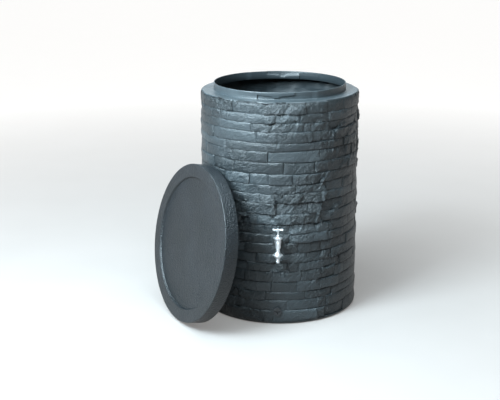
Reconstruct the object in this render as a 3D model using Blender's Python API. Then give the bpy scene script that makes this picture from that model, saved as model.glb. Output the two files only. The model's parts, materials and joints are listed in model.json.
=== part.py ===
"""A 250 litre rain barrel: a rotomoulded tank with a bayonet neck, a loose lid that leans beside it,
a chromed bib tap with a hose tail, and a drain plug.

Metres, +Z up. The origin is the centre of the tank's base, and the tap faces -Y.
"""

import math

import bmesh
import bpy
from mathutils import Matrix, Vector

# Tank
BASE_RADIUS = 0.316
SHOULDER_RADIUS = 0.310
SHOULDER_HEIGHT = 0.8735
NECK_RADIUS = 0.2611
NECK_HEIGHT = 0.902
WALL = 0.004
BASE_CORNER = 0.011
SHOULDER_CORNER = 0.006
LIP = 0.0012

# Bayonet channels in the neck, in degrees from the middle of the channel's detent
BAYONET_HEADING = -2.3
CHANNEL_DEPTH = 0.004
CHANNEL_STOP = -16.0
ENTRY_START = 15.0
ENTRY_END = 30.0
ENTRY_FADE = 36.0
CHANNEL_CEILING = 0.0172
DETENT_SHOULDER = 0.0123
DETENT_CEILING = 0.0063
DETENT_FLAT = 2.0
DETENT_SLOPE = 3.2
STEP_DEGREES = 0.1
STEP_HEIGHT = 0.0004
COLUMN_DEGREES = 5

# Lid, and how it leans on the tank
LID_RADIUS = 0.308
LID_DEPTH = 0.054
LID_PANEL_RADIUS = 0.257
LID_PANEL_DEPTH = 0.008
LID_HEADING = math.radians(210.0)
LID_LEAN = math.radians(10.8)
LID_PLACE = (-0.350, -0.265)
LUG_RING_RADIUS = 0.2655
LUG_RING_WALL = 0.0035
LUG_REACH = 0.2582
LUG_DEGREES = 12.0
RIB_COUNT = 12

# Things that touch keep this gap, and threads run with this clearance
GAP = 0.0003

# Tap
TAP_HEIGHT = 0.3385
TAP_REACH = 0.045
TAP_PAD_RADIUS = 0.022
SHANK_RADIUS = 0.013
SHANK_BORE = 0.006
SEAT_HEIGHT = 0.330
BODY_TOP = 0.3622
BODY_RADIUS = 0.011
CHAMBER_RADIUS = 0.0085
SPOUT_RADIUS = 0.0077
SPOUT_BORE = 0.005
OUTLET_TOP = 0.304
OUTLET_BOTTOM = 0.296
SPINDLE_RADIUS = 0.0027
SCREW_RADIUS = 0.0047
HANDLE_HEIGHT = 0.3993
HANDLE_LENGTH = 0.040
HANDLE_RADIUS = 0.0043
TAIL_BOTTOM = 0.2688
FIBRE_WASHER = 0.001
BONNET_FLATS = 0.0055
BONNET_CONE = 0.0037
SPIGOT_BOTTOM = 0.3490
GLAND_DEPTH = 0.0045
JUMPER_WASHER = 0.003
JUMPER_PLATE = 0.0015
SPINDLE_SCREW = 0.0215

# Drain
DRAIN_HEIGHT = 0.055
DRAIN_PAD_RADIUS = 0.021
DRAIN_BUSH_RADIUS = 0.013
PLUG_THREAD = 0.0096
PLUG_HEAD = 0.0165
PLUG_SLOT = (0.0210, 0.0048, 0.0030)


def wall_radius(height):
    """The tank's outer radius at a height: it tapers evenly from base to shoulder."""
    return BASE_RADIUS + (SHOULDER_RADIUS - BASE_RADIUS) * height / SHOULDER_HEIGHT


TAP_PAD_FACE = wall_radius(TAP_HEIGHT) + 0.0008
TAP_PAD_BACK = wall_radius(TAP_HEIGHT) - 0.0052
TAP_AXIS_Y = -(wall_radius(TAP_HEIGHT) + TAP_REACH)
DRAIN_PAD_FACE = wall_radius(DRAIN_HEIGHT) + 0.0008
DRAIN_PAD_BACK = wall_radius(DRAIN_HEIGHT) - 0.0052
BONNET_WASHER_BOTTOM = BODY_TOP + GAP
BONNET_BOTTOM = BONNET_WASHER_BOTTOM + FIBRE_WASHER + GAP
BONNET_FLAT_TOP = BONNET_BOTTOM + BONNET_FLATS
BONNET_TOP = BONNET_FLAT_TOP + BONNET_CONE
GLAND_FLOOR = BONNET_TOP - GLAND_DEPTH
JUMPER_WASHER_BOTTOM = SEAT_HEIGHT + GAP
JUMPER_BOTTOM = JUMPER_WASHER_BOTTOM + JUMPER_WASHER + GAP
SPINDLE_BOTTOM = JUMPER_BOTTOM + JUMPER_PLATE + GAP
SPINDLE_TOP = HANDLE_HEIGHT + 0.0030


# Building blocks


def clear_scene():
    for thing in list(bpy.data.objects):
        bpy.data.objects.remove(thing, do_unlink=True)


def finish(name, colour, roughness, metallic=0.0):
    made = bpy.data.materials.new(name)
    made.use_nodes = True
    shader = made.node_tree.nodes["Principled BSDF"]
    shader.inputs["Base Color"].default_value = (*colour, 1.0)
    shader.inputs["Roughness"].default_value = roughness
    shader.inputs["Metallic"].default_value = metallic
    return made


def new_object(name, mesh_builder, material=None, helper=False):
    """Turns a bmesh into an object with its faces pointing out. A helper is used only by a Boolean."""
    bmesh.ops.recalc_face_normals(mesh_builder, faces=mesh_builder.faces)
    mesh = bpy.data.meshes.new(name)
    mesh_builder.to_mesh(mesh)
    mesh_builder.free()
    mesh.shade_smooth()
    mesh.set_sharp_from_angle(angle=math.radians(35))
    if material:
        mesh.materials.append(material)
    made = bpy.data.objects.new(name, mesh)
    bpy.context.scene.collection.objects.link(made)
    made.hide_render = helper
    if helper:
        made.display_type = "WIRE"
    return made


def boolean(target, other, operation):
    modifier = target.modifiers.new(other.name, "BOOLEAN")
    modifier.operation = operation
    modifier.object = other
    return target


def ring_of_points(builder, radius, height, angles):
    if radius == 0:
        return [builder.verts.new((0, 0, height))] * len(angles)
    return [builder.verts.new((radius * math.cos(a), radius * math.sin(a), height)) for a in angles]


def skin(builder, rows):
    """Joins neighbouring rings of points with faces; a ring that is one repeated point is a pole."""
    count = len(rows[0])
    for low, high in zip(rows, rows[1:]):
        for i in range(count):
            j = (i + 1) % count
            corners = list(dict.fromkeys((low[i], low[j], high[j], high[i])))
            if len(corners) > 2:
                builder.faces.new(corners)


def turned(profile, segments=32):
    """A solid of revolution about Z. A profile that starts and ends on the axis is open; others close."""
    builder = bmesh.new()
    angles = [2 * math.pi * i / segments for i in range(segments)]
    rows = [ring_of_points(builder, radius, height, angles) for radius, height in profile]
    if profile[0][0] != 0:
        rows.append(rows[0])
    skin(builder, rows)
    return builder


def tube(outer, inner, low, high, segments=32):
    return turned([(outer, low), (outer, high), (inner, high), (inner, low)], segments)


def rod(radius, low, high, segments=32):
    return turned([(0, low), (radius, low), (radius, high), (0, high)], segments)


def hexagon(across_flats, low, high):
    """A nut's body before its bore is cut, with corners at +X and -X."""
    radius = across_flats / math.sqrt(3)
    chamfer = 0.08 * radius
    profile = [(0, low), (radius - chamfer, low), (radius, low + chamfer), (radius, high - chamfer)]
    return turned([*profile, (radius - chamfer, high), (0, high)], 6)


def box(centre, size):
    builder = bmesh.new()
    bmesh.ops.create_cube(builder, size=1.0)
    bmesh.ops.scale(builder, vec=size, verts=builder.verts)
    bmesh.ops.translate(builder, vec=centre, verts=builder.verts)
    return builder


def arc(centre, radius, start, end, steps):
    """Points of a rounded corner in the profile plane, from one angle in degrees to another."""
    points = []
    for i in range(steps + 1):
        angle = math.radians(start + (end - start) * i / steps)
        points.append((centre[0] + radius * math.cos(angle), centre[1] + radius * math.sin(angle)))
    return points


def lie_along_y(thing, height):
    """Lays a piece turned about Z along Y, with its +Z end towards the front."""
    thing.location = (0, 0, height)
    thing.rotation_euler = (math.pi / 2, 0, 0)
    return thing


# Tank


def smooth_step(value):
    value = min(max(value, 0.0), 1.0)
    return value * value * (3 - 2 * value)


def channel_section(degrees):
    """How far the neck is pressed in below and above the channel's ceiling, and the ceiling's height."""
    fade = 1 - smooth_step((degrees - ENTRY_END) / (ENTRY_FADE - ENTRY_END))
    below = fade if degrees > CHANNEL_STOP else 0.0
    above = fade if degrees > ENTRY_START else 0.0
    distance = abs(degrees)
    if distance < DETENT_FLAT:
        ceiling = DETENT_CEILING
    elif distance < DETENT_SLOPE:
        share = (distance - DETENT_FLAT) / (DETENT_SLOPE - DETENT_FLAT)
        ceiling = DETENT_CEILING + share * (DETENT_SHOULDER - DETENT_CEILING)
    else:
        share = min((distance - DETENT_SLOPE) / (ENTRY_START - DETENT_SLOPE), 1.0)
        ceiling = DETENT_SHOULDER + share * (CHANNEL_CEILING - DETENT_SHOULDER)
    return below * CHANNEL_DEPTH, above * CHANNEL_DEPTH, SHOULDER_HEIGHT + ceiling


def channel_columns():
    """Angles for half a turn: evenly spaced, with extra ones where the channel's shape changes."""
    columns = {float(d) for d in range(-90, 90, COLUMN_DEGREES)}
    columns -= {ENTRY_START}
    for edge in (CHANNEL_STOP, ENTRY_START):
        columns |= {edge - STEP_DEGREES, edge + STEP_DEGREES}
    columns |= {-DETENT_SLOPE, -DETENT_FLAT, DETENT_FLAT, DETENT_SLOPE, ENTRY_FADE - 3, ENTRY_FADE}
    return sorted(columns)


def tank_profile(below, above, ceiling):
    """The tank's section at one angle: outside from the base up, over the lip, inside back down."""
    low, high = NECK_RADIUS - below, NECK_RADIUS - above
    inner_shoulder = SHOULDER_HEIGHT - WALL
    outside = [(0, 0)]
    outside += arc((BASE_RADIUS - BASE_CORNER, BASE_CORNER), BASE_CORNER, -90, 0, 3)
    shoulder_centre = (SHOULDER_RADIUS - SHOULDER_CORNER, SHOULDER_HEIGHT - SHOULDER_CORNER)
    outside += arc(shoulder_centre, SHOULDER_CORNER, 0, 90, 3)
    outside += [(low, SHOULDER_HEIGHT), (low, ceiling - STEP_HEIGHT), (high, ceiling + STEP_HEIGHT)]
    outside += [(high, NECK_HEIGHT - LIP), (high - LIP, NECK_HEIGHT)]
    inside = [(high - WALL + LIP, NECK_HEIGHT), (high - WALL, NECK_HEIGHT - LIP)]
    inside += [(high - WALL, ceiling + STEP_HEIGHT), (low - WALL, ceiling - STEP_HEIGHT)]
    inside += [(low - WALL, inner_shoulder), (SHOULDER_RADIUS - 2 * WALL, inner_shoulder)]
    inside += [(SHOULDER_RADIUS - WALL, inner_shoulder - WALL)]
    floor_centre = (BASE_RADIUS - WALL - BASE_CORNER, WALL + BASE_CORNER)
    inside += arc(floor_centre, BASE_CORNER, 0, -90, 2)
    return outside + inside + [(0, WALL)]


def rods_through_wall(sizes):
    """Cylinders along Y through the front wall, one for each height, radius and pair of ends."""
    builder = bmesh.new()
    for height, radius, back, face in sizes:
        place = Matrix.Translation((0, -(back + face) / 2, height)) @ Matrix.Rotation(math.pi / 2, 4, "X")
        bmesh.ops.create_cone(
            builder,
            cap_ends=True,
            segments=32,
            radius1=radius,
            radius2=radius,
            depth=face - back,
            matrix=place,
        )
    return builder


def tank_shell(material):
    builder = bmesh.new()
    columns = [(d, half) for half in (0, 180) for d in channel_columns()]
    profiles = [tank_profile(*channel_section(d)) for d, half in columns]
    directions = []
    for degrees, half in columns:
        heading = math.radians(degrees + half + BAYONET_HEADING - 90)
        directions.append((math.cos(heading), math.sin(heading)))
    rows = []
    for i, (radius, height) in enumerate(profiles[0]):
        if radius == 0:
            rows.append([builder.verts.new((0, 0, height))] * len(columns))
            continue
        row = []
        for profile, (x, y) in zip(profiles, directions):
            row.append(builder.verts.new((profile[i][0] * x, profile[i][0] * y, profile[i][1])))
        rows.append(row)
    skin(builder, rows)
    shell = new_object("tank_shell", builder, material)
    pads = (
        (TAP_HEIGHT, TAP_PAD_RADIUS, TAP_PAD_BACK, TAP_PAD_FACE),
        (DRAIN_HEIGHT, DRAIN_PAD_RADIUS, DRAIN_PAD_BACK, DRAIN_PAD_FACE),
    )
    holes = (
        (TAP_HEIGHT, SHANK_RADIUS + GAP, TAP_PAD_BACK - 0.02, TAP_PAD_FACE + 0.02),
        (DRAIN_HEIGHT, DRAIN_BUSH_RADIUS + GAP, DRAIN_PAD_BACK - 0.02, DRAIN_PAD_FACE + 0.02),
    )
    boolean(shell, new_object("wall_pads", rods_through_wall(pads), helper=True), "UNION")
    boolean(shell, new_object("wall_holes", rods_through_wall(holes), helper=True), "DIFFERENCE")
    return shell


# Lid


def lid_profile():
    """The lid's section, with its face at height 0: the top from the centre out, then the underside."""
    wall_foot = LID_PANEL_RADIUS - 0.0035
    top = [(0, -LID_PANEL_DEPTH), (wall_foot, -LID_PANEL_DEPTH), (LID_PANEL_RADIUS, -0.001)]
    top += [(LID_PANEL_RADIUS + 0.001, 0)]
    top += arc((LID_RADIUS - 0.0025, -0.0025), 0.0025, 90, 0, 2)
    top += [(LID_RADIUS, 0.002 - LID_DEPTH), (LID_RADIUS - 0.0015, -LID_DEPTH)]
    inner = LID_RADIUS - WALL
    under = [(inner + 0.001, -LID_DEPTH), (inner, 0.002 - LID_DEPTH), (inner, -WALL - 0.002)]
    under += [(inner - 0.002, -WALL), (LID_PANEL_RADIUS + WALL, -WALL)]
    under += [(wall_foot + WALL, -LID_PANEL_DEPTH - WALL), (0, -LID_PANEL_DEPTH - WALL)]
    return top + under


def lid_lugs():
    """Two lugs inside the ring, half a turn apart, that run in the neck's channels."""
    builder = bmesh.new()
    outer, low, high = LUG_RING_RADIUS + LUG_RING_WALL / 2, 0.0005 - LID_DEPTH, 0.006 - LID_DEPTH
    for middle in (0, 180):
        edges = []
        for step in range(4):
            heading = math.radians(middle + LUG_DEGREES * (step / 3 - 0.5))
            across = [(LUG_REACH, low), (outer, low), (outer, high), (LUG_REACH, high)]
            edges.append(
                [builder.verts.new((r * math.cos(heading), r * math.sin(heading), z)) for r, z in across]
            )
        for a, b in zip(edges, edges[1:]):
            for i in range(4):
                builder.faces.new((a[i], a[(i + 1) % 4], b[(i + 1) % 4], b[i]))
        builder.faces.new(edges[0])
        builder.faces.new(edges[-1])
    return builder


def lid_ribs():
    """Gussets that tie the lug ring to the skirt, left out where the lugs are."""
    builder = bmesh.new()
    start, end = LUG_RING_RADIUS + LUG_RING_WALL / 2, LID_RADIUS - WALL / 2
    for i in range(RIB_COUNT):
        turn = Matrix.Rotation(2 * math.pi * (i + 0.5) / RIB_COUNT, 4, "Z")
        made = bmesh.ops.create_cube(builder, size=1.0)["verts"]
        bmesh.ops.scale(builder, vec=(end - start, 0.003, 0.026), verts=made)
        bmesh.ops.translate(builder, vec=((start + end) / 2, 0, -0.0155), verts=made)
        bmesh.ops.transform(builder, matrix=turn, verts=made)
    return builder


def leaning_lid(material):
    """The lid on its edge beside the tank. Its parent stands where its face would meet the floor."""
    lid = new_object("lid", turned(lid_profile(), 72), material)
    ring_top, ring_bottom = -0.002, 0.004 - LID_DEPTH
    ring = tube(LUG_RING_RADIUS + LUG_RING_WALL, LUG_RING_RADIUS, ring_bottom, ring_top, 72)
    boolean(lid, new_object("lid_lug_ring", ring, helper=True), "UNION")
    boolean(lid, new_object("lid_ribs", lid_ribs(), helper=True), "UNION")
    boolean(lid, new_object("lid_lugs", lid_lugs(), helper=True), "UNION")
    centre_height = LID_DEPTH * math.sin(LID_LEAN) + LID_RADIUS * math.cos(LID_LEAN)
    up_the_face = centre_height / math.cos(LID_LEAN)
    foot = up_the_face * math.sin(LID_LEAN)
    hinge = bpy.data.objects.new("lid_hinge", None)
    bpy.context.scene.collection.objects.link(hinge)
    outward = Vector((math.cos(LID_HEADING), math.sin(LID_HEADING), 0))
    hinge.location = Vector((*LID_PLACE, 0)) + foot * outward
    hinge.rotation_euler = (0, 0, LID_HEADING)
    for piece in (lid, *(modifier.object for modifier in lid.modifiers)):
        piece.parent = hinge
        piece.location = (-foot, 0, centre_height)
        piece.rotation_euler = (0, math.pi / 2 - LID_LEAN, 0)
    return lid


# Tap


def on_tap_axis(thing):
    thing.location = (0, TAP_AXIS_Y, 0)
    return thing


def tap_body(material):
    """A spout under a valve chamber, with a threaded shank that runs back through the tank's wall."""
    upright = [(0, OUTLET_BOTTOM), (SHANK_RADIUS, OUTLET_BOTTOM), (SHANK_RADIUS, OUTLET_TOP)]
    upright += [(SPOUT_RADIUS, OUTLET_TOP + 0.008), (SPOUT_RADIUS, SEAT_HEIGHT - 0.006)]
    upright += [(BODY_RADIUS, SEAT_HEIGHT - 0.001), (BODY_RADIUS, BODY_TOP), (0, BODY_TOP)]
    body = on_tap_axis(new_object("tap_body", turned(upright), material))
    flange_back = TAP_PAD_FACE + 0.0025 + 2 * GAP
    inside_end = TAP_PAD_BACK - 0.0135
    shank = [(0, inside_end), (SHANK_RADIUS, inside_end), (SHANK_RADIUS, flange_back)]
    shank += [(0.017, flange_back), (0.017, flange_back + 0.002), (0.010, flange_back + 0.005)]
    shank += [(0.009, -TAP_AXIS_Y), (0, -TAP_AXIS_Y)]
    side = lie_along_y(new_object("tap_shank", turned(shank), helper=True), TAP_HEIGHT)
    boolean(body, side, "UNION")
    boss_face = -TAP_AXIS_Y + BODY_RADIUS + 0.0015
    boss = [(0, boss_face - 0.009), (0.0065, boss_face - 0.009), (0.0065, boss_face)]
    boss += [(0.0022, boss_face), (0.0018, boss_face - 0.001), (0, boss_face - 0.001)]
    front = new_object("tap_boss", turned(boss, 24), helper=True)
    boolean(body, lie_along_y(front, BODY_TOP - 0.009), "UNION")
    seat_top, seat_foot = SEAT_HEIGHT, SEAT_HEIGHT - 0.0015
    waterway = [(0, OUTLET_BOTTOM - 0.01), (SPOUT_BORE, OUTLET_BOTTOM - 0.01), (SPOUT_BORE, seat_top)]
    waterway += [(0.0066, seat_top), (0.0070, seat_foot), (CHAMBER_RADIUS, seat_foot)]
    waterway += [(CHAMBER_RADIUS, BODY_TOP + 0.01), (0, BODY_TOP + 0.01)]
    bore = on_tap_axis(new_object("tap_waterway", turned(waterway), helper=True))
    boolean(body, bore, "DIFFERENCE")
    inlet = rod(SHANK_BORE, inside_end - 0.01, -TAP_AXIS_Y, 24)
    boolean(body, lie_along_y(new_object("tap_inlet", inlet, helper=True), TAP_HEIGHT), "DIFFERENCE")
    return body


def wall_stack(rubber, black):
    """The washers and the nut that clamp the shank to the tank's wall."""
    outer_low = TAP_PAD_FACE + GAP
    inner_high = TAP_PAD_BACK - GAP
    nut_high = inner_high - 0.002 - GAP
    bore = SHANK_RADIUS + GAP
    outer = new_object("tap_outer_washer", tube(0.018, bore, outer_low, outer_low + 0.0025), rubber)
    inner = new_object("tap_inner_washer", tube(0.018, bore, inner_high - 0.002, inner_high), rubber)
    nut = new_object("tap_back_nut", hexagon(0.034, nut_high - 0.008, nut_high), black)
    thread = new_object("back_nut_bore", rod(bore, nut_high - 0.02, nut_high + 0.02), helper=True)
    boolean(nut, thread, "DIFFERENCE")
    for piece in (outer, inner, nut, thread):
        lie_along_y(piece, TAP_HEIGHT)


def bonnet(chrome, fibre):
    """The headgear: a hexagon with a coned top and a spigot down into the valve chamber."""
    nut = new_object("tap_bonnet", hexagon(0.030, BONNET_BOTTOM, BONNET_FLAT_TOP), chrome)
    cone = [(0, BONNET_FLAT_TOP - 0.001), (0.0125, BONNET_FLAT_TOP - 0.001), (0.0120, BONNET_FLAT_TOP)]
    cone += [(0.0072, BONNET_TOP), (0, BONNET_TOP)]
    spigot = rod(CHAMBER_RADIUS - GAP, SPIGOT_BOTTOM, BONNET_BOTTOM + 0.001)
    screw_room = SCREW_RADIUS + GAP
    bore = [(0, SPIGOT_BOTTOM - 0.01), (screw_room, SPIGOT_BOTTOM - 0.01), (screw_room, BONNET_BOTTOM)]
    bore += [(SPINDLE_RADIUS + GAP, BONNET_BOTTOM), (SPINDLE_RADIUS + GAP, GLAND_FLOOR)]
    bore += [(0.0050, GLAND_FLOOR), (0.0050, BONNET_TOP + 0.01), (0, BONNET_TOP + 0.01)]
    for name, shape, operation in (
        ("bonnet_cone", turned(cone), "UNION"),
        ("bonnet_spigot", spigot, "UNION"),
        ("bonnet_bore", turned(bore), "DIFFERENCE"),
    ):
        boolean(nut, on_tap_axis(new_object(name, shape, helper=True)), operation)
    on_tap_axis(nut)
    washer_top = BONNET_WASHER_BOTTOM + FIBRE_WASHER
    washer = tube(0.0108, CHAMBER_RADIUS, BONNET_WASHER_BOTTOM, washer_top)
    on_tap_axis(new_object("tap_bonnet_washer", washer, fibre))


def gland(chrome, rubber):
    """A soft ring round the spindle, pressed down by a small nut."""
    ring_low = GLAND_FLOOR + GAP
    ring = tube(0.0047, SPINDLE_RADIUS + GAP, ring_low, ring_low + 0.0019, 24)
    on_tap_axis(new_object("tap_gland_ring", ring, rubber))
    foot = ring_low + 0.0019 + GAP
    seat = BONNET_TOP + GAP
    profile = [(SPINDLE_RADIUS + GAP, foot), (0.0047, foot), (0.0047, seat), (0.0062, seat)]
    profile += [(0.0062, seat + 0.0035), (0.0045, seat + 0.0062), (SPINDLE_RADIUS + GAP, seat + 0.0062)]
    on_tap_axis(new_object("tap_gland_nut", turned(profile, 24), chrome))


def valve(brass, rubber):
    """The jumper and its washer, which the spindle lifts off the seat."""
    washer = tube(0.0070, 0.0012, JUMPER_WASHER_BOTTOM, JUMPER_WASHER_BOTTOM + JUMPER_WASHER, 24)
    on_tap_axis(new_object("tap_jumper_washer", washer, rubber))
    plate, stem_top = JUMPER_BOTTOM + JUMPER_PLATE, SPINDLE_BOTTOM + 0.010
    profile = [(0, JUMPER_BOTTOM), (0.0070, JUMPER_BOTTOM), (0.0070, plate), (0.0018, plate)]
    profile += [(0.0018, stem_top), (0, stem_top)]
    on_tap_axis(new_object("tap_jumper", turned(profile, 24), brass))


def spindle(chrome, steel):
    """The spindle with its screw and jumper socket, the T handle and the handle's screw."""
    screw_top = SPINDLE_BOTTOM + SPINDLE_SCREW
    socket_top = SPINDLE_BOTTOM + 0.0105
    thread_hole = 0.0012
    profile = [(0.0018 + GAP, socket_top), (0.0018 + GAP, SPINDLE_BOTTOM), (SCREW_RADIUS, SPINDLE_BOTTOM)]
    profile += [(SCREW_RADIUS, screw_top), (SPINDLE_RADIUS, screw_top + 0.001), (SPINDLE_RADIUS, SPINDLE_TOP)]
    profile += [(thread_hole, SPINDLE_TOP), (thread_hole, SPINDLE_TOP - 0.008), (0, SPINDLE_TOP - 0.008)]
    profile = [(0, socket_top), *profile]
    on_tap_axis(new_object("tap_spindle", turned(profile, 24), chrome))
    half = HANDLE_LENGTH / 2
    bar = [(0, -half), (0.0034, -half), (HANDLE_RADIUS, 0.001 - half), (0.0036, -0.006)]
    bar += [(0.0036, 0.006), (HANDLE_RADIUS, half - 0.001), (0.0034, half), (0, half)]
    handle = on_tap_axis(new_object("tap_handle", turned(bar, 20), chrome))
    handle.location.z = HANDLE_HEIGHT
    handle.rotation_euler = (0, math.pi / 2, 0)
    hub = rod(0.0052, HANDLE_HEIGHT - 0.0052, HANDLE_HEIGHT + 0.0043, 24)
    boolean(handle, on_tap_axis(new_object("handle_hub", hub, helper=True)), "UNION")
    socket_roof = SPINDLE_TOP + GAP
    socket = [(0, HANDLE_HEIGHT - 0.02), (SPINDLE_RADIUS + GAP, HANDLE_HEIGHT - 0.02)]
    socket += [(SPINDLE_RADIUS + GAP, socket_roof), (thread_hole, socket_roof)]
    socket += [(thread_hole, HANDLE_HEIGHT + 0.02), (0, HANDLE_HEIGHT + 0.02)]
    boolean(handle, on_tap_axis(new_object("handle_socket", turned(socket, 24), helper=True)), "DIFFERENCE")
    head = HANDLE_HEIGHT + 0.0043 + GAP
    screw = [(0, head - 0.0065), (0.0009, head - 0.0065), (0.0009, head), (0.0028, head)]
    screw += [(0.0028, head + 0.0006), (0.0016, head + 0.0013), (0, head + 0.0013)]
    on_tap_axis(new_object("tap_handle_screw", turned(screw, 20), steel))


def hose_union(chrome, rubber):
    """The hose tail, its washer, and the ribbed nut that draws it up to the outlet."""
    washer_top = OUTLET_BOTTOM - GAP
    washer = tube(0.0120, 0.0060, washer_top - 0.0017, washer_top)
    on_tap_axis(new_object("tap_tail_washer", washer, rubber))
    flange_top = washer_top - 0.0017 - GAP
    flange_bottom = flange_top - 0.0020
    tail = [(SPOUT_BORE, flange_top), (0.0120, flange_top), (0.0120, flange_bottom)]
    tail += [(0.0072, flange_bottom), (0.0072, TAIL_BOTTOM + 0.014), (0.0077, TAIL_BOTTOM + 0.0135)]
    tail += [(0.0072, TAIL_BOTTOM + 0.0080), (0.0077, TAIL_BOTTOM + 0.0075), (0.0070, TAIL_BOTTOM)]
    tail += [(SPOUT_BORE, TAIL_BOTTOM)]
    on_tap_axis(new_object("tap_hose_tail", turned(tail), chrome))
    collar = flange_bottom - GAP
    room = SHANK_RADIUS + GAP
    nut = [(0.0081, collar), (room, collar), (room, OUTLET_TOP - 0.001), (0.0165, OUTLET_TOP - 0.001)]
    nut += [(0.0175, OUTLET_TOP - 0.003), (0.0175, OUTLET_TOP - 0.006), (0.0105, collar - 0.0028)]
    nut += [(0.0081, collar - 0.0028)]
    union = on_tap_axis(new_object("tap_union_nut", turned(nut, 36), chrome))
    wings = bmesh.new()
    for i in range(8):
        made = bmesh.ops.create_cube(wings, size=1.0)["verts"]
        bmesh.ops.scale(wings, vec=(0.0030, 0.0020, 0.0040), verts=made)
        bmesh.ops.translate(wings, vec=(0.0172, 0, OUTLET_TOP - 0.0042), verts=made)
        turn = Matrix.Rotation(2 * math.pi * i / 8, 4, "Z")
        bmesh.ops.transform(wings, matrix=turn, verts=made)
    boolean(union, on_tap_axis(new_object("union_grips", wings, helper=True)), "UNION")


# Drain


def cross_cutter(face):
    """An upright cross that cuts the slot into the plug's face."""
    length, width, depth = PLUG_SLOT
    far, near = length / 2, width / 2
    quarter = [(near, far), (-near, far), (-near, near), (-far, near), (-far, -near), (-near, -near)]
    outline = quarter + [(-x, -y) for x, y in quarter]
    builder = bmesh.new()
    low = [builder.verts.new((x, y, face - depth)) for x, y in outline]
    high = [builder.verts.new((x, y, face + depth)) for x, y in outline]
    builder.faces.new(list(reversed(low)))
    builder.faces.new(high)
    for i in range(len(outline)):
        j = (i + 1) % len(outline)
        builder.faces.new((low[i], low[j], high[j], high[i]))
    return builder


def drain(black, rubber):
    """A flanged bush in the wall, and a cross-slotted plug that screws into it against a washer."""
    bore = PLUG_THREAD + GAP
    back = DRAIN_PAD_BACK - GAP
    bush = [(bore, back - 0.0115), (0.0125, back - 0.0115), (0.0125, back - 0.004), (0.018, back - 0.004)]
    bush += [(0.018, back), (DRAIN_BUSH_RADIUS, back), (DRAIN_BUSH_RADIUS, DRAIN_PAD_FACE)]
    bush += [(bore, DRAIN_PAD_FACE)]
    lie_along_y(new_object("drain_bush", turned(bush), black), DRAIN_HEIGHT)
    washer_low = DRAIN_PAD_FACE + GAP
    washer = tube(0.0152, bore, washer_low, washer_low + 0.002)
    lie_along_y(new_object("drain_washer", washer, rubber), DRAIN_HEIGHT)
    head = washer_low + 0.002 + GAP
    face = head + 0.005
    tip = head - 0.0144
    plug = [(0, tip), (PLUG_THREAD - 0.001, tip), (PLUG_THREAD, tip + 0.001), (PLUG_THREAD, head)]
    plug += [(PLUG_HEAD, head), (PLUG_HEAD, face - 0.001), (PLUG_HEAD - 0.001, face), (0, face)]
    turned_plug = lie_along_y(new_object("drain_plug", turned(plug), black), DRAIN_HEIGHT)
    slot = new_object("plug_slot", cross_cutter(face), helper=True)
    boolean(turned_plug, lie_along_y(slot, DRAIN_HEIGHT), "DIFFERENCE")


def main():
    clear_scene()
    stone_plastic = finish("stone_plastic", (0.060, 0.075, 0.085), 0.55)
    grained_plastic = finish("grained_plastic", (0.065, 0.080, 0.090), 0.50)
    chrome = finish("chrome_plastic", (0.80, 0.81, 0.82), 0.20, 0.9)
    black = finish("black_plastic", (0.020, 0.022, 0.024), 0.50)
    rubber = finish("rubber", (0.015, 0.015, 0.015), 0.80)
    fibre = finish("fibre", (0.30, 0.12, 0.06), 0.80)
    brass = finish("brass", (0.70, 0.52, 0.25), 0.35, 1.0)
    steel = finish("steel", (0.60, 0.60, 0.60), 0.35, 1.0)
    tank_shell(stone_plastic)
    leaning_lid(grained_plastic)
    tap_body(chrome)
    wall_stack(rubber, black)
    bonnet(chrome, fibre)
    gland(chrome, rubber)
    valve(brass, rubber)
    spindle(chrome, steel)
    hose_union(chrome, rubber)
    drain(black, rubber)


main()
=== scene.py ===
"""The looks of the rain barrel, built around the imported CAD: a tank moulded as courses of split stone,
a pebble-grained lid that leans on it, a chromed bib tap and a drain plug.

Metres, +Z up, in the row's own frame: the tank's base is centred on the origin and the tap faces -Y.
"""

import json
import math

import bmesh
import bpy
import numpy as np
from mathutils import Matrix, Vector, noise


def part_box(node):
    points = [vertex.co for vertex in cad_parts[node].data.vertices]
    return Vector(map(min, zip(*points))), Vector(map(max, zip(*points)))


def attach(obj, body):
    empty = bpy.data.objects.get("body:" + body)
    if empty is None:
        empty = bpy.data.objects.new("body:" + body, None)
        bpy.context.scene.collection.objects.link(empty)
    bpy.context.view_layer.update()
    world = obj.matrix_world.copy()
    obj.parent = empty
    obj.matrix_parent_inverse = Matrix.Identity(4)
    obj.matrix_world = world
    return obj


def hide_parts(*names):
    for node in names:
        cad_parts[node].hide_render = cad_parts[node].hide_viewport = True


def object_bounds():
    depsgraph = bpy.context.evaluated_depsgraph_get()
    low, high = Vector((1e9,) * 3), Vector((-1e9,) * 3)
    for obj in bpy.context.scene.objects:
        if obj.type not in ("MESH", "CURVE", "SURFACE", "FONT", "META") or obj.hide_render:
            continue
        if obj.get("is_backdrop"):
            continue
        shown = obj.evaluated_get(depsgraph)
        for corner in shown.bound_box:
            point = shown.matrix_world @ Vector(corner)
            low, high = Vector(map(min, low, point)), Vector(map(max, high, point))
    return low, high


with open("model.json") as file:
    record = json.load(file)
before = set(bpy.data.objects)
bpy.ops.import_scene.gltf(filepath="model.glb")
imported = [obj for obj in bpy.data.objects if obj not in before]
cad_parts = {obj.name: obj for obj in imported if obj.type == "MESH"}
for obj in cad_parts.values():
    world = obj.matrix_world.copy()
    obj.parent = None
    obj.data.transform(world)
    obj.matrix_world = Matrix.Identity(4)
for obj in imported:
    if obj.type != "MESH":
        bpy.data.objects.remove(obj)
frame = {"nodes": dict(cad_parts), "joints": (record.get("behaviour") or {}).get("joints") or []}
cad_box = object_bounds()
rng = np.random.default_rng(41)

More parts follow.
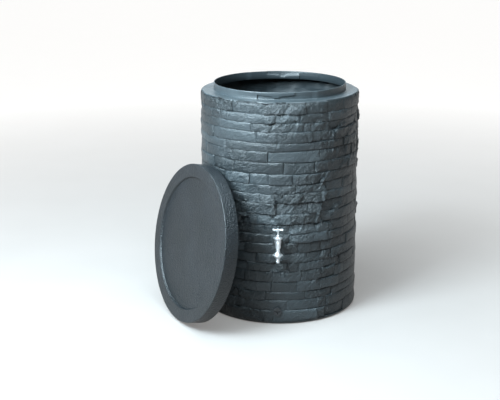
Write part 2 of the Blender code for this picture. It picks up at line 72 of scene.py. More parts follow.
# Tank, the same sizes as the CAD
BASE_RADIUS = 0.316
SHOULDER_RADIUS = 0.310
SHOULDER_HEIGHT = 0.8735
NECK_RADIUS = 0.2611
NECK_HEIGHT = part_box("tank_shell")[1].z
WALL = 0.004
BASE_CORNER = 0.011
SHOULDER_CORNER = 0.006
FOOT_DEGREES = (0, 30, 60, 90)
SHOULDER_DEGREES = (25, 50, 72, 90)
INNER_CORNER_DEGREES = (0, 45, 90)

# How far the visual foot stands out past the CAD's
FOOT_PROUD = 0.0016

# Bayonet channels in the neck, in degrees from the middle of the channel's detent
BAYONET_HEADING = -2.3
CHANNEL_DEPTH = 0.004
CHANNEL_STOP = -16.0
ENTRY_START = 15.0
ENTRY_END = 30.0
ENTRY_FADE = 36.0
CHANNEL_CEILING = 0.0172
DETENT_SHOULDER = 0.0123
DETENT_CEILING = 0.0063
DETENT_FLAT = 2.0
DETENT_SLOPE = 3.2

# Stone relief
COLUMNS = 408
COURSES = 22
COURSE_ROWS = (0.035, 0.11, 0.30, 0.50, 0.70, 0.89, 0.965)
BLOCK_LENGTHS = (0.055, 0.235)
JOINT_HALF = 0.0013
JOINT_DEPTH = 0.0015
BLOCK_STEP = 0.0021
EDGE_ROUND = 0.0042
EDGE_DROP = 0.0013
FACET_SIZE = 0.085
FACET_RISE = 0.017
CHIP_SIZE = 0.021
CHIP_RISE = 0.0060
FACET_FLATNESS = 1.35
LUMPS = ((0.0011, 42.0), (0.0006, 110.0))
BLOCK_TINTS = (0.15, 0.85)
STAND_LIMITS = (-0.0032, 0.0036)
COURSE_SHARES = (0.80, 1.20)
JOINT_WAVES = ((0.0011, 2, 9), (0.0007, 12, 40))
WAVE_COUNT = 6

# Rings above the shoulder's corner that are tinted as its flat and the neck's outside, and their lighter
# tint: painted light, where light falls on the smooth top of the same plastic
LIP_ROWS = 15
LIP_PAINTED_LIGHT = 0.95

# How broken every surface other than the stone wall is, for the bump
CALM_RIVEN = 0.06

# Courses at the top whose inside can be seen through the neck, and the rings taken from each course
SEEN_COURSES = 8
SEEN_STEPS = (6, 4, 2, 0)
UNSEEN_STEPS = (5, 1)

# Places where the relief is flattened for a fitting
TAP_HEIGHT = 0.3385
DRAIN_HEIGHT = 0.055
PAD_FACE_STEP = 0.0008
PAD_BACK_STEP = -0.0052
TAP_HOLE = 0.0133
DRAIN_HOLE = 0.0133
TAP_PAD_REACH = (0.0235, 0.034)
DRAIN_PAD_REACH = (0.0225, 0.030)
TAP_PAD_REACH_INSIDE = (0.033, 0.052)
DRAIN_PAD_REACH_INSIDE = (0.031, 0.045)

# Lid
LID_RADIUS = 0.308
LID_DEPTH = 0.054
LID_PANEL_RADIUS = 0.257
LID_PANEL_DEPTH = 0.008
LID_LEAN = math.radians(10.8)
LID_HEADING = math.radians(210.0)
LUG_RING_RADIUS = 0.2655
LUG_RING_WALL = 0.0035
LUG_REACH = 0.2582
LUG_DEGREES = 12.0
RIB_COUNT = 12
LID_SEGMENTS = 180
LID_WARP = 0.0008
LID_WARP_RADIUS = 0.2

# Tap
GAP = 0.0003
TAP_REACH = 0.045
SHANK_RADIUS = 0.013
SHANK_BORE = 0.006
SEAT_HEIGHT = 0.330
BODY_TOP = 0.3622
BODY_RADIUS = 0.011
CHAMBER_RADIUS = 0.0085
SPOUT_RADIUS = 0.0077
SPOUT_BORE = 0.005
OUTLET_TOP = 0.304
OUTLET_BOTTOM = 0.296
SPINDLE_RADIUS = 0.0027
SCREW_RADIUS = 0.0047
HANDLE_HEIGHT = 0.3993
HANDLE_LENGTH = 0.040
HANDLE_RADIUS = 0.0043
TAIL_BOTTOM = 0.2688
BONNET_BOTTOM = BODY_TOP + 0.001 + 2 * GAP
BONNET_FLAT_TOP = BONNET_BOTTOM + 0.0055
BONNET_TOP = BONNET_FLAT_TOP + 0.0037
GLAND_FLOOR = BONNET_TOP - 0.0045
SPIGOT_BOTTOM = 0.3490
SPINDLE_TOP = HANDLE_HEIGHT + 0.0030
FLANGE_RADIUS = 0.0170
GLAND_NOTCHES = 12
NUT_WINGS = 8

# Drain
DRAIN_WASHER = 0.002
PLUG_THREAD = 0.0096
PLUG_HEAD = 0.0165
PLUG_SLOT = (0.0210, 0.0048, 0.0030)
RIM_NOTCHES = 24

# How much deeper the visual slot is than the CAD's
SLOT_EXTRA = 0.0014

# Largest angle, in degrees, between faces that are shaded as one surface
TANK_SHARP = 50
LID_SHARP = 35
FITTING_SHARP = 32

# Setting
FLOOR_HALF = 60.0
FLOOR_GLOW = (0.5, 4.5, 0.20, 0.85)
SENSOR_WIDTH = 36.0
LENS = 73.83
CLIP_END = 200.0
CAMERA_PLACE = (0.0230, -4.0251, 1.5720)
CAMERA_TURN = (math.radians(73.93), 0, math.radians(2.0))


def wall_radius(height):
    """The tank's nominal outer radius at a height: it tapers evenly from base to shoulder."""
    return BASE_RADIUS + (SHOULDER_RADIUS - BASE_RADIUS) * height / SHOULDER_HEIGHT


TAP_AXIS_Y = -(wall_radius(TAP_HEIGHT) + TAP_REACH)
TAP_PAD_FACE = wall_radius(TAP_HEIGHT) + PAD_FACE_STEP
TAP_PAD_BACK = wall_radius(TAP_HEIGHT) + PAD_BACK_STEP
DRAIN_PAD_FACE = wall_radius(DRAIN_HEIGHT) + PAD_FACE_STEP
DRAIN_PAD_BACK = wall_radius(DRAIN_HEIGHT) + PAD_BACK_STEP


def smooth_step(value):
    value = np.clip(value, 0.0, 1.0)
    return value * value * (3 - 2 * value)


# Materials: each is a small node tree in object coordinates


class Finish:
    """A Principled material with helpers that add noise-driven colour, roughness and bump."""

    def __init__(self, name, metallic=0.0, specular=0.5):
        self.material = bpy.data.materials.new(name)
        self.material.use_nodes = True
        self.tree = self.material.node_tree
        self.shader = self.tree.nodes["Principled BSDF"]
        self.shader.inputs["Metallic"].default_value = metallic
        self.shader.inputs["Specular IOR Level"].default_value = specular
        self.place = self.tree.nodes.new("ShaderNodeTexCoord").outputs["Object"]
        self.bumped = None

    def node(self, kind, numbers):
        """A new node with numbers set on its sockets."""
        made = self.tree.nodes.new(kind)
        for socket, number in numbers.items():
            made.inputs[socket].default_value = number
        return made

    def stretched(self, grain, lean=0.0):
        """Object coordinates in grains of the given size along each axis, leaned about Y, for streaks."""
        turn = (0.0, math.radians(lean), 0.0)
        node = self.node("ShaderNodeMapping", {"Scale": grain, "Rotation": turn})
        node.vector_type = "TEXTURE"
        self.tree.links.new(self.place, node.inputs["Vector"])
        return node.outputs["Vector"]

    def noise(self, scale, detail=3.0, roughness=0.5, distortion=0.0, place=None):
        numbers = {"Scale": scale, "Detail": detail, "Roughness": roughness, "Distortion": distortion}
        node = self.node("ShaderNodeTexNoise", numbers)
        self.tree.links.new(place or self.place, node.inputs["Vector"])
        return node.outputs["Fac"]

    def cells(self, scale):
        """The distance to the nearest of the scattered points, for pebble grain."""
        node = self.node("ShaderNodeTexVoronoi", {"Scale": scale})
        node.feature = "SMOOTH_F1"
        self.tree.links.new(self.place, node.inputs["Vector"])
        return node.outputs["Distance"]

    def away_from_middle(self, near, far, low, high):
        """A value that goes from low to high as the distance from the origin goes from near to far."""
        length = self.tree.nodes.new("ShaderNodeVectorMath")
        length.operation = "LENGTH"
        self.tree.links.new(self.place, length.inputs[0])
        numbers = {"From Min": near, "From Max": far, "To Min": low, "To Max": high}
        node = self.node("ShaderNodeMapRange", numbers)
        self.tree.links.new(length.outputs["Value"], node.inputs["Value"])
        return node.outputs["Result"]

    def attribute(self, name):
        node = self.tree.nodes.new("ShaderNodeAttribute")
        node.attribute_name = name
        return node.outputs["Fac"]

    def math(self, operation, a, b):
        node = self.tree.nodes.new("ShaderNodeMath")
        node.operation = operation
        for socket, value in zip(node.inputs, (a, b)):
            if isinstance(value, (int, float)):
                socket.default_value = value
            else:
                self.tree.links.new(value, socket)
        return node.outputs["Value"]

    def ramp(self, factor, stops):
        """A colour ramp through (position, linear colour) stops."""
        node = self.tree.nodes.new("ShaderNodeValToRGB")
        elements = node.color_ramp.elements
        while len(elements) < len(stops):
            elements.new(0.5)
        for element, (position, colour) in zip(elements, stops):
            element.position = position
            element.color = (*colour, 1.0)
        self.tree.links.new(factor, node.inputs["Fac"])
        return node.outputs["Color"]

    def colour(self, factor, stops):
        self.tree.links.new(self.ramp(factor, stops), self.shader.inputs["Base Color"])

    def two_tone(self, factor, dark, light):
        self.colour(factor, [(0.30, dark), (0.70, light)])

    def roughness(self, factor, low, high):
        node = self.node("ShaderNodeMapRange", {"To Min": low, "To Max": high})
        self.tree.links.new(factor, node.inputs["Value"])
        self.tree.links.new(node.outputs["Result"], self.shader.inputs["Roughness"])

    def bump(self, height, distance, strength=1.0):
        """Adds one more layer of bump on top of those before it."""
        node = self.node("ShaderNodeBump", {"Distance": distance, "Strength": strength})
        self.tree.links.new(height, node.inputs["Height"])
        if self.bumped:
            self.tree.links.new(self.bumped, node.inputs["Normal"])
        self.bumped = node.outputs["Normal"]
        self.tree.links.new(self.bumped, self.shader.inputs["Normal"])


def stone_plastic():
    """Charcoal polyethylene moulded as split stone: gritty, with streaks and ledges where it is riven."""
    made = Finish("stone_plastic", specular=0.42)
    # The per-point tint holds each block's own tone, plus painted shade along the joints and painted light
    # on the shoulder and neck
    tint = made.math("ADD", made.attribute("block_tone_and_painted_light"), made.noise(9.0, 4.0, 0.6))
    made.colour(
        made.math("MULTIPLY", tint, 0.5),
        [(0.25, (0.012, 0.016, 0.018)), (0.55, (0.017, 0.022, 0.025)), (0.80, (0.032, 0.041, 0.046))],
    )
    made.roughness(made.noise(60.0, 3.0), 0.30, 0.46)
    riven = made.attribute("riven")
    chisel = made.noise(1.0, 4.0, 0.6, 0.8, made.stretched((0.009, 0.009, 0.026), 38))
    made.bump(made.math("MULTIPLY", chisel, riven), 0.0070, 0.90)
    ledges = made.noise(1.0, 3.0, 0.6, 0.5, made.stretched((0.020, 0.020, 0.008), -14))
    made.bump(made.math("MULTIPLY", ledges, riven), 0.0055, 0.70)
    grit = made.math("MULTIPLY", made.noise(260.0, 3.0, 0.6), made.math("ADD", riven, 0.2))
    made.bump(grit, 0.0020, 0.80)
    made.bump(made.noise(900.0, 2.0, 0.6), 0.0005, 0.60)
    return made.material


def grained_plastic():
    """The lid's charcoal polyethylene, with a fine pebble grain."""
    made = Finish("grained_plastic", specular=0.38)
    made.colour(
        made.noise(6.0, 4.0, 0.6),
        [(0.30, (0.006, 0.008, 0.009)), (0.55, (0.008, 0.010, 0.012)), (0.80, (0.011, 0.014, 0.016))],
    )
    made.roughness(made.noise(45.0, 3.0), 0.30, 0.42)
    made.bump(made.noise(9.0, 2.0), 0.0040, 0.50)
    made.bump(made.cells(200.0), 0.0032, 0.9)
    made.bump(made.noise(520.0, 2.0, 0.6), 0.0010, 0.9)
    return made.material


def chrome_plastic():
    """The tap's chromed plastic, slightly clouded."""
    made = Finish("chrome_plastic", metallic=0.9)
    made.two_tone(made.noise(140.0, 3.0), (0.56, 0.59, 0.61), (0.70, 0.72, 0.74))
    made.roughness(made.noise(260.0, 3.0), 0.30, 0.44)
    made.bump(made.noise(420.0, 2.0), 0.0002, 0.30)
    return made.material


def black_plastic():
    """Plain black plastic with a faint grain."""
    made = Finish("black_plastic")
    made.two_tone(made.noise(120.0, 3.0), (0.014, 0.015, 0.017), (0.026, 0.028, 0.030))
    made.roughness(made.noise(90.0, 2.0), 0.40, 0.55)
    made.bump(made.noise(1100.0, 2.0), 0.0002, 0.5)
    return made.material


def rubber():
    """Matt black rubber."""
    made = Finish("rubber", specular=0.3)
    made.two_tone(made.noise(160.0, 3.0), (0.010, 0.010, 0.011), (0.020, 0.020, 0.021))
    made.roughness(made.noise(200.0, 2.0), 0.70, 0.90)
    made.bump(made.noise(1500.0, 2.0), 0.0002, 0.6)
    return made.material


def fibre():
    """Red-brown pressed fibre."""
    made = Finish("fibre", specular=0.2)
    made.two_tone(made.noise(900.0, 4.0, 0.7), (0.20, 0.070, 0.035), (0.36, 0.150, 0.075))
    made.roughness(made.noise(500.0, 2.0), 0.75, 0.90)
    made.bump(made.noise(2200.0, 3.0), 0.0002, 0.7)
    return made.material


def brass():
    """Turned brass, with fine rings about Z."""
    made = Finish("brass", metallic=1.0)
    made.two_tone(made.noise(200.0, 3.0), (0.58, 0.41, 0.17), (0.78, 0.58, 0.28))
    made.roughness(made.noise(1.0, 2.0, place=made.stretched((0.017, 0.017, 0.0004))), 0.24, 0.42)
    made.bump(made.noise(1.0, 2.0, place=made.stretched((0.025, 0.025, 0.0003))), 0.0001, 0.6)
    return made.material


def steel():
    """Plain steel with a fine grain."""
    made = Finish("steel", metallic=1.0)
    made.two_tone(made.noise(300.0, 3.0), (0.48, 0.48, 0.49), (0.66, 0.66, 0.67))
    made.roughness(made.noise(700.0, 2.0), 0.25, 0.42)
    made.bump(made.noise(1500.0, 2.0), 0.0001, 0.5)
    return made.material


makers = (stone_plastic, grained_plastic, chrome_plastic, black_plastic, rubber, fibre, brass, steel)
finishes = {make.__name__: make() for make in makers}

NODE_FINISHES = {
    "rubber": (
        "tap_outer_washer", "tap_inner_washer", "tap_gland_ring",
        "tap_jumper_washer", "tap_tail_washer", "drain_washer",
    ),
    "black_plastic": ("tap_back_nut", "drain_bush"),
    "fibre": ("tap_bonnet_washer",),
    "brass": ("tap_jumper",),
    "chrome_plastic": ("tap_spindle",),
}


def keep_node(node, finish):
    """A CAD node whose shape is right is shown as it is, with a procedural finish."""
    mesh = frame["nodes"][node].data
    mesh.materials.clear()
    mesh.materials.append(finishes[finish])


# Mesh building blocks


def added(name, data):
    """A new object in the scene."""
    made = bpy.data.objects.new(name, data)
    bpy.context.scene.collection.objects.link(made)
    return made


def new_piece(name, mesh, finish, sharp):
    mesh.materials.append(finishes[finish])
    mesh.shade_smooth()
    mesh.set_sharp_from_angle(angle=math.radians(sharp))
    return added(name, mesh)


def stands_for(piece, body, node):
    """Puts a piece on a body, in the place of a CAD node."""
    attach(piece, body)
    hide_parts(node)


def fitting(name, mesh, body, node, finish="chrome_plastic"):
    """A piece of the tap or the drain, which stands for one CAD node."""
    stands_for(new_piece(name, mesh, finish, FITTING_SHARP), body, node)


def mesh_from(name, builder):
    bmesh.ops.recalc_face_normals(builder, faces=builder.faces)
    mesh = bpy.data.meshes.new(name)
    builder.to_mesh(mesh)
    builder.free()
    return mesh


def softened(profile, radius, steps=3):
    """The outline with each of its inner corners replaced by a small curve."""
    points = [profile[0]]
    for before, corner, after in zip(profile, profile[1:], profile[2:]):
        before, corner, after = Vector(before), Vector(corner), Vector(after)
        reach = min(radius, 0.45 * (corner - before).length, 0.45 * (after - corner).length)
        start = corner + (before - corner).normalized() * reach
        end = corner + (after - corner).normalized() * reach
        for i in range(steps + 1):
            t = i / steps
            points.append(tuple((1 - t) ** 2 * start + 2 * t * (1 - t) * corner + t * t * end))
    points.append(profile[-1])
    return points


def turned(profile, segments=48):
    """A closed solid of revolution about Z, from an outline that is closed or ends on the axis."""
    builder = bmesh.new()
    rows = []
    for radius, height in profile:
        if radius < 1e-7:
            rows.append([builder.verts.new((0, 0, height))] * segments)
            continue
        row = []
        for i in range(segments):
            angle = 2 * math.pi * i / segments
            row.append(builder.verts.new((radius * math.cos(angle), radius * math.sin(angle), height)))
        rows.append(row)
    if profile[0][0] > 1e-7:
        rows.append(rows[0])
    for low, high in zip(rows, rows[1:]):
        for i in range(segments):
            j = (i + 1) % segments
            corners = list(dict.fromkeys((low[i], low[j], high[j], high[i])))
            if len(corners) > 2:
                builder.faces.new(corners)
    return builder


def hexagon(across_flats, low, high, chamfer):
    """A nut's blank: a hexagonal prism with chamfered edges."""
    radius = across_flats / 2 / math.cos(math.pi / 6)
    builder = bmesh.new()
    bmesh.ops.create_cone(
        builder, cap_ends=True, segments=6, radius1=radius, radius2=radius, depth=high - low
    )
    turn = Matrix.Rotation(math.pi / 6, 4, "Z")
    shift = Matrix.Translation((0, 0, (low + high) / 2))
    bmesh.ops.transform(builder, matrix=shift @ turn, verts=builder.verts)
    edges = [e for e in builder.edges if abs(e.verts[0].co.z - e.verts[1].co.z) > 1e-6]
    bmesh.ops.bevel(
        builder, geom=edges, offset=chamfer * 0.6, segments=2, affect="EDGES", profile=0.5
    )
    rims = [e for e in builder.edges if abs(e.verts[0].co.z - e.verts[1].co.z) < 1e-6]
    bmesh.ops.bevel(builder, geom=rims, offset=chamfer, segments=2, affect="EDGES", profile=0.5)
    return builder


def solid_box(size, centre, bevel):
    builder = bmesh.new()
    bmesh.ops.create_cube(builder, size=1.0)
    bmesh.ops.scale(builder, vec=size, verts=builder.verts)
    bmesh.ops.bevel(builder, geom=builder.edges[:], offset=bevel, segments=2, affect="EDGES")
    bmesh.ops.translate(builder, vec=centre, verts=builder.verts)
    return builder


def moved(builder, matrix):
    bmesh.ops.transform(builder, matrix=matrix, verts=builder.verts)
    return builder


def boxes_around(count, size, centre, bevel, place, offset=0.0):
    """Boxes spaced evenly round a place's Z axis, the first one turned by a share of the spacing."""
    for i in range(count):
        turn = Matrix.Rotation(2 * math.pi * (i + offset) / count, 4, "Z")
        yield moved(solid_box(size, centre, bevel), place @ turn)


def carved(name, builder, operations):
    """A mesh made by joining and cutting closed solids, each given as (operation, builder)."""
    start = added(name, mesh_from(name, builder))
    others = []
    for i, (operation, other) in enumerate(operations):
        tool = added(f"{name}_tool_{i}", mesh_from(f"{name}_tool_{i}", other))
        modifier = start.modifiers.new(tool.name, "BOOLEAN")
        modifier.operation = operation
        modifier.solver = "EXACT"
        modifier.object = tool
        others.append(tool)
    graph = bpy.context.evaluated_depsgraph_get()
    mesh = bpy.data.meshes.new_from_object(start.evaluated_get(graph))
    for thing in (start, *others):
        bpy.data.objects.remove(thing)
    mesh.materials.clear()
    return mesh


def along_front(height):
    """From a piece turned about Z to one that lies along Y at a height, its +Z end to the front."""
    return Matrix.Translation((0, 0, height)) @ Matrix.Rotation(math.pi / 2, 4, "X")


ON_TAP = Matrix.Translation((0, TAP_AXIS_Y, 0))


# Tank: a grid of rows and columns. The columns are moved onto the joints of each course.

REGULAR = np.arange(COLUMNS) * 2 * math.pi / COLUMNS


def snapped(targets):
    """The columns' angles, with three columns moved onto each target and its two edges."""
    angles = REGULAR.copy()
    half = JOINT_HALF / SHOULDER_RADIUS
    centres = []
    for target in targets:
        nearest = int(round(target / (2 * math.pi) * COLUMNS))
        for step in (-1, 0, 1):
            column = nearest + step
            turn = 2 * math.pi * (column // COLUMNS)
            angles[column % COLUMNS] = target + step * half - turn
        centres.append(nearest % COLUMNS)
    return angles, centres


def ring_wave(size, low, high):
    """A smooth curve round the tank, from waves of whole numbers of cycles."""
    total = np.zeros(COLUMNS)
    for _ in range(WAVE_COUNT):
        cycles = rng.integers(low, high)
        total += rng.normal() * np.sin(cycles * REGULAR + rng.uniform(0, 2 * math.pi))
    return size * total / math.sqrt(WAVE_COUNT)


def block_ends():
    """Angles of one course's upright joints, from random block lengths that close the circle."""
    lengths = []
    while sum(lengths) < 2 * math.pi * SHOULDER_RADIUS - BLOCK_LENGTHS[0] / 2:
        share = rng.beta(1.3, 1.7)
        lengths.append(BLOCK_LENGTHS[0] + share * (BLOCK_LENGTHS[1] - BLOCK_LENGTHS[0]))
    ends = np.cumsum(lengths) / sum(lengths) * 2 * math.pi + rng.uniform(0, 2 * math.pi)
    return np.sort(ends % (2 * math.pi))


def joint_heights():
    """Heights of the level joints all the way round, as waves about uneven levels."""
    shares = rng.uniform(*COURSE_SHARES, COURSES)
    low, high = BASE_CORNER + 0.001, SHOULDER_HEIGHT - SHOULDER_CORNER - 0.0005
    levels = low + np.concatenate(([0], np.cumsum(shares) / shares.sum())) * (high - low)
    lines = np.repeat(levels[:, None], COLUMNS, axis=1)
    for k in range(1, COURSES):
        lines[k] += sum(ring_wave(*wave) for wave in JOINT_WAVES)
    return lines


def rock(x, y, z, rough):
    """Broken rock faces at a point: tilted facets, large ones and small ones, and fine lumps."""
    point = Vector((x, y, z))
    height = 0.0
    for size, rise in ((FACET_SIZE, FACET_RISE), (CHIP_SIZE, CHIP_RISE)):
        place = Vector((x / size, y / size, z / size * FACET_FLATNESS))
        seed = noise.voronoi(place)[1][0]
        slope = noise.cell_vector(seed * 37.0) - Vector((0.5, 0.5, 0.5))
        height += rise * (place - seed).dot(slope)
    lumps = sum(rise * noise.noise(point * scale) for rise, scale in LUMPS)
    return height * rough + lumps * (0.5 + 0.5 * rough)


def rock_field(angles, heights, rough):
    """The rock faces' height at each point of the grid."""
    made = np.zeros_like(heights)
    for spot in np.ndindex(heights.shape):
        angle, z = angles[spot], heights[spot]
        radius = wall_radius(z)
        made[spot] = rock(radius * math.cos(angle), radius * math.sin(angle), z, rough[spot])
    return made


def roughness_field(angles, heights):
    """How broken the stone is, from 0 to 1. The lower courses are dressed smoother."""
    made = np.zeros_like(heights)
    for spot in np.ndindex(heights.shape):
        angle, z = angles[spot], heights[spot]
        made[spot] = noise.noise(Vector((1.7 * math.cos(angle), 1.7 * math.sin(angle), 6.0 * z)))
    lift = 0.25 + 0.40 * np.clip(heights / SHOULDER_HEIGHT, 0, 1)
    return smooth_step(lift + 1.1 * made)


def course(index, lines):
    """One course of blocks: rows of angles, heights, distances off the wall, and tints."""
    angles, centres = snapped(block_ends())
    count = len(centres)
    order = np.zeros(COLUMNS, int)
    for centre in centres:
        order[(centre + 1) % COLUMNS :] += 1
    order %= count
    # The lower the course, the less its blocks stand in and out
    level = 0.62 + 0.38 * index / COURSES
    stand = np.clip(rng.normal(0, BLOCK_STEP, count), *STAND_LIMITS) * level
    skew = rng.normal(0, 0.0008, count)
    lean = rng.normal(0, 0.0010, count)
    tint = rng.uniform(*BLOCK_TINTS, count)
    depth = JOINT_DEPTH * rng.uniform(0.0, 0.75, count)
    distance = np.full(COLUMNS, 1.0)
    side = np.zeros(COLUMNS)
    for column in range(COLUMNS):
        gaps = [(angles[column] - angles[c] + math.pi) % (2 * math.pi) - math.pi for c in centres]
        nearest = min(gaps, key=abs)
        distance[column] = max(abs(nearest) * SHOULDER_RADIUS - JOINT_HALF, 0.0)
        side[column] = -math.copysign(max(0.0, 1 - distance[column] / 0.08), nearest)
    rows = np.array(COURSE_ROWS)
    low, high = lines[index], lines[index + 1]
    heights = low + rows[:, None] * (high - low)
    edge = np.minimum(rows, 1 - rows)[:, None] * (high - low) - JOINT_HALF
    edge = np.minimum(np.maximum(edge, 0.0), distance[None, :])
    face = stand[order] + skew[order] * side + lean[order] * (2 * rows[:, None] - 1)
    # The edges are rounded off, most at the top of each block
    face = face - EDGE_DROP * (0.6 + 0.9 * rows[:, None]) * (1 - smooth_step(edge / EDGE_ROUND))
    tints = np.repeat(tint[order][None, :], len(rows), axis=0)
    for i, centre in enumerate(centres):
        beside = face[:, [centre - 1, (centre + 1) % COLUMNS]].min(axis=1)
        face[:, centre] = beside - depth[i]
    return np.repeat(angles[None, :], len(rows), axis=0), heights, face, tints


def relief():
    """The stone wall's grid of rows and columns: angles, heights, stand-off, tint and brokenness."""
    lines = joint_heights()
    courses = [course(i, lines) for i in range(COURSES)]
    parts = []
    for k in range(COURSES + 1):
        under = courses[k - 1] if k > 0 else None
        over = courses[k] if k < COURSES else None
        near = [c for c in (under, over) if c]
        angles = np.mean([c[0][0] for c in near], axis=0)
        sides = []
        if under:
            sides.append(under[2][-1])
        if over:
            sides.append(over[2][0])
        depth = JOINT_DEPTH * np.clip(0.5 + ring_wave(0.45, 3, 14), 0.0, 1.0)
        if k == COURSES:
            # The top line is the wall's edge at the shoulder, not a joint
            depth = depth * 0
        face = np.min(sides, axis=0) - depth
        # The joints' tint is darkened in proportion to their depth: painted shade in the grooves
        tint = np.mean([c[3][0] for c in near], axis=0) - 0.3 * depth / JOINT_DEPTH
        parts.append((angles[None, :], lines[k][None, :], face[None, :], tint[None, :]))
        if over:
            parts.append(over)
    angles, heights, face, tints = (np.concatenate([p[i] for p in parts]) for i in range(4))
    rough = roughness_field(angles, heights)
    return angles, heights, face + rock_field(angles, heights, rough), tints, rough


def channel_section(angles):
    """How far the neck is pressed in below and above the bayonet's ceiling, and its height."""
    degrees = (np.degrees(angles) + 90 - BAYONET_HEADING + 90) % 180 - 90
    fade = 1 - smooth_step((degrees - ENTRY_END) / (ENTRY_FADE - ENTRY_END))
    below = fade * (degrees > CHANNEL_STOP)
    above = fade * (degrees > ENTRY_START)
    distance = np.abs(degrees)
    marks = (DETENT_FLAT, DETENT_SLOPE, ENTRY_START)
    ceiling = np.interp(distance, marks, (DETENT_CEILING, DETENT_SHOULDER, CHANNEL_CEILING))
    return below * CHANNEL_DEPTH, above * CHANNEL_DEPTH, SHOULDER_HEIGHT + ceiling


def neck_angles():
    """The columns' angles on the neck, with pairs of columns at each sharp change of the channel."""
    angles = REGULAR.copy()
    marks = []
    for edge in (CHANNEL_STOP, ENTRY_START):
        marks += [edge - 0.12, edge + 0.12]
    marks += [-DETENT_SLOPE, -DETENT_FLAT, DETENT_FLAT, DETENT_SLOPE]
    taken = set()
    for half in (0, 180):
        for mark in marks:
            target = math.radians(mark + half + BAYONET_HEADING - 90) % (2 * math.pi)
            exact = target / (2 * math.pi) * COLUMNS
            choices = sorted(range(int(exact) - 2, int(exact) + 4), key=lambda c: abs(c - exact))
            column = next(c for c in choices if c % COLUMNS not in taken)
            taken.add(column % COLUMNS)
            angles[column % COLUMNS] = target - 2 * math.pi * (column // COLUMNS)
    return angles


def flattened(points, height, face, reach):
    """Points near a fitting at the front are moved onto a level pad at y = -face."""
    flat, fade = reach
    away = np.hypot(points[..., 0], points[..., 2] - height)
    weight = 1 - smooth_step((away - flat) / (fade - flat))
    weight = weight * (points[..., 1] < 0)
    points[..., 1] += weight * (-face - points[..., 1])
    return points


def ring(angles, radius, height):
    radius = np.broadcast_to(radius, angles.shape)
    height = np.broadcast_to(height, angles.shape)
    return np.stack([radius * np.cos(angles), radius * np.sin(angles), height], axis=-1)


def outside_rows(angles, heights, face):
    """Rings of points from the middle of the base up the stone wall to the shoulder's edge."""
    rows = [ring(angles[0], 0.5 * BASE_RADIUS, 0.0)]
    for degrees in FOOT_DEGREES:
        turn = math.radians(degrees)
        radius = BASE_RADIUS + FOOT_PROUD - BASE_CORNER * (1 - math.sin(turn))
        rows.append(ring(angles[0], radius, BASE_CORNER * (1 - math.cos(turn))))
    wall = ring(angles, wall_radius(heights) + face, heights)
    wall = flattened(wall, TAP_HEIGHT, TAP_PAD_FACE, TAP_PAD_REACH)
    wall = flattened(wall, DRAIN_HEIGHT, DRAIN_PAD_FACE, DRAIN_PAD_REACH)
    rows += list(wall)
    top = face[-1]
    for degrees in SHOULDER_DEGREES:
        turn = math.radians(degrees)
        radius = SHOULDER_RADIUS - SHOULDER_CORNER * (1 - math.cos(turn)) + top * math.cos(turn)
        height = SHOULDER_HEIGHT - SHOULDER_CORNER * (1 - math.sin(turn))
        rows.append(ring(angles[-1], radius, height))
    return rows


def neck_rows():
    """The shoulder's flat, up the outside of the neck, over its lip and down to the shoulder's underside."""
    angles = neck_angles()
    below, above, ceiling = channel_section(angles)
    low, high = NECK_RADIUS - below, NECK_RADIUS - above
    rows = []
    flat_edge = SHOULDER_RADIUS - SHOULDER_CORNER
    for share in (0.12, 0.45, 0.8):
        wave = 0.0004 * np.sin(7 * angles + 9 * share) + 0.0003 * np.sin(17 * angles + 5 * share)
        between = REGULAR * (1 - share) + angles * share
        height = SHOULDER_HEIGHT + wave * (1 - share)
        rows.append(ring(between, flat_edge - share * (flat_edge - low), height))
    rows.append(ring(angles, low + 0.0026, SHOULDER_HEIGHT))
    rows.append(ring(angles, low + 0.0008, SHOULDER_HEIGHT + 0.0008))
    rows.append(ring(angles, low, SHOULDER_HEIGHT + 0.0026))
    for share, rise in ((0.0, -0.0014), (0.12, -0.0004), (0.88, 0.0004), (1.0, 0.0014)):
        rows.append(ring(angles, low + share * (high - low), ceiling + rise))
    rows.append(ring(angles, high, NECK_HEIGHT - 0.0060))
    for inset, drop in ((0, 0.0022), (0.0003, 0.0011), (0.0009, 0.0003), (0.0017, 0.0)):
        rows.append(ring(angles, high - inset, NECK_HEIGHT - drop))
    for inset, drop in ((0.0025, 0.0), (0.0032, 0.0003), (0.0038, 0.0011), (0.0040, 0.0022)):
        rows.append(ring(angles, high - inset, NECK_HEIGHT - drop))
    for share, rise in ((1.0, 0.0018), (0.85, 0.0006), (0.15, -0.0006), (0.0, -0.0018)):
        rows.append(ring(angles, low + share * (high - low) - WALL, ceiling + rise))
    inner_shoulder = SHOULDER_HEIGHT - WALL
    rows.append(ring(angles, low - WALL, inner_shoulder + 0.0015))
    rows.append(ring(angles, low - WALL + 0.0015, inner_shoulder))
    return rows


